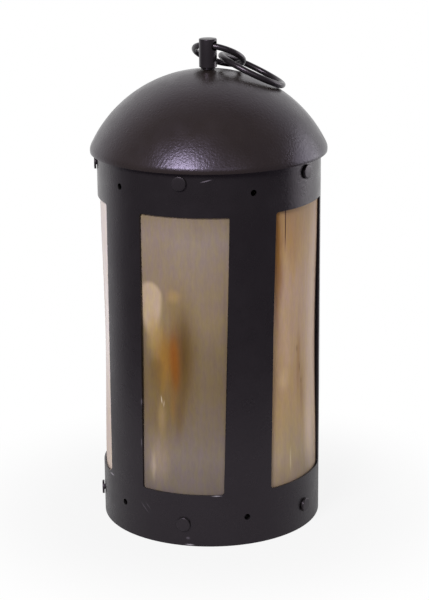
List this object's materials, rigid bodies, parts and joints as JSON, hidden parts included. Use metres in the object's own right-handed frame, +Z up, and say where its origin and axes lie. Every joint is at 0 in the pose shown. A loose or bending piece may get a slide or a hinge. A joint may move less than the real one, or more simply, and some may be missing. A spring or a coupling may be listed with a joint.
{
  "type": "lantern",
  "caption": "Round sheet steel lantern with tall windows of horn, a domed top, a carrying ring and a hinged window door for a candle.",
  "frame": {"origin": "centre of the body on the plane it stands on", "axes": "+Z up along the body's axis, one window faces -Y"},
  "size_m": [0.127, 0.127, 0.2635],
  "materials": {
    "black_steel": "satin black stove paint over sheet steel",
    "horn": "scraped translucent cattle horn, satin",
    "raw_steel": "plain mild steel, dulled"
  },
  "bodies": {
    "lantern_body": {"body_shell": "black_steel", "horn_pane_1": "horn", "bottom_rivet_1": "black_steel", "top_rivet_1": "black_steel", "horn_pane_2": "horn", "bottom_rivet_2": "black_steel", "top_rivet_2": "black_steel", "horn_pane_3": "horn", "bottom_rivet_3": "black_steel", "top_rivet_3": "black_steel", "bottom_rivet_4": "black_steel", "top_rivet_4": "black_steel", "horn_pane_5": "horn", "bottom_rivet_5": "black_steel", "top_rivet_5": "black_steel", "seam_rivet_1": "black_steel", "seam_rivet_2": "black_steel", "seam_rivet_3": "black_steel", "base_pan": "black_steel", "drip_tray": "raw_steel", "candle_socket": "raw_steel", "socket_rivet": "raw_steel", "dome": "black_steel", "dome_collar": "black_steel", "hanger_post": "black_steel", "post_washer": "raw_steel", "hinge_body_leaf_1": "black_steel", "hinge_pin_1": "raw_steel", "hinge_body_leaf_2": "black_steel", "hinge_pin_2": "raw_steel", "body_leaf_rivet_1": "black_steel", "body_leaf_rivet_2": "black_steel", "body_leaf_rivet_3": "black_steel", "body_leaf_rivet_4": "black_steel", "turn_button_rivet": "black_steel"},
    "door": {"door_frame": "black_steel", "door_pane": "horn", "door_pane_rivet_1": "black_steel", "door_pane_rivet_2": "black_steel", "hinge_door_leaf_1": "black_steel", "hinge_door_leaf_2": "black_steel", "door_leaf_rivet_1": "black_steel", "door_leaf_rivet_2": "black_steel", "door_leaf_rivet_3": "black_steel", "door_leaf_rivet_4": "black_steel"},
    "post_ring": {"post_ring": "black_steel"},
    "hanging_ring": {"hanging_ring": "black_steel"},
    "turn_button": {"turn_button": "black_steel"}
  },
  "joints": [
    {"name": "door_hinge", "type": "hinge", "parent": "lantern_body", "child": "door", "pos_m": [-0.05776, 0.02307, 0.105], "axis": [0, 0, 1], "range_deg": [0, 110]},
    {"name": "post_ring_swing", "type": "hinge", "parent": "lantern_body", "child": "post_ring", "pos_m": [0, 0, 0.2597], "axis": [0.9576, -0.2882, 0], "range_deg": [0, 165]},
    {"name": "hanging_ring_swing", "type": "hinge", "parent": "post_ring", "child": "hanging_ring", "pos_m": [0.00604, 0.00616, 0.25313], "axis": [0.9576, -0.2882, 0], "range_deg": [0, 60]},
    {"name": "turn_button_turn", "type": "hinge", "parent": "lantern_body", "child": "turn_button", "pos_m": [0, 0.0619, 0.105], "axis": [0, 1, 0], "range_deg": [0, 90]}
  ]
}
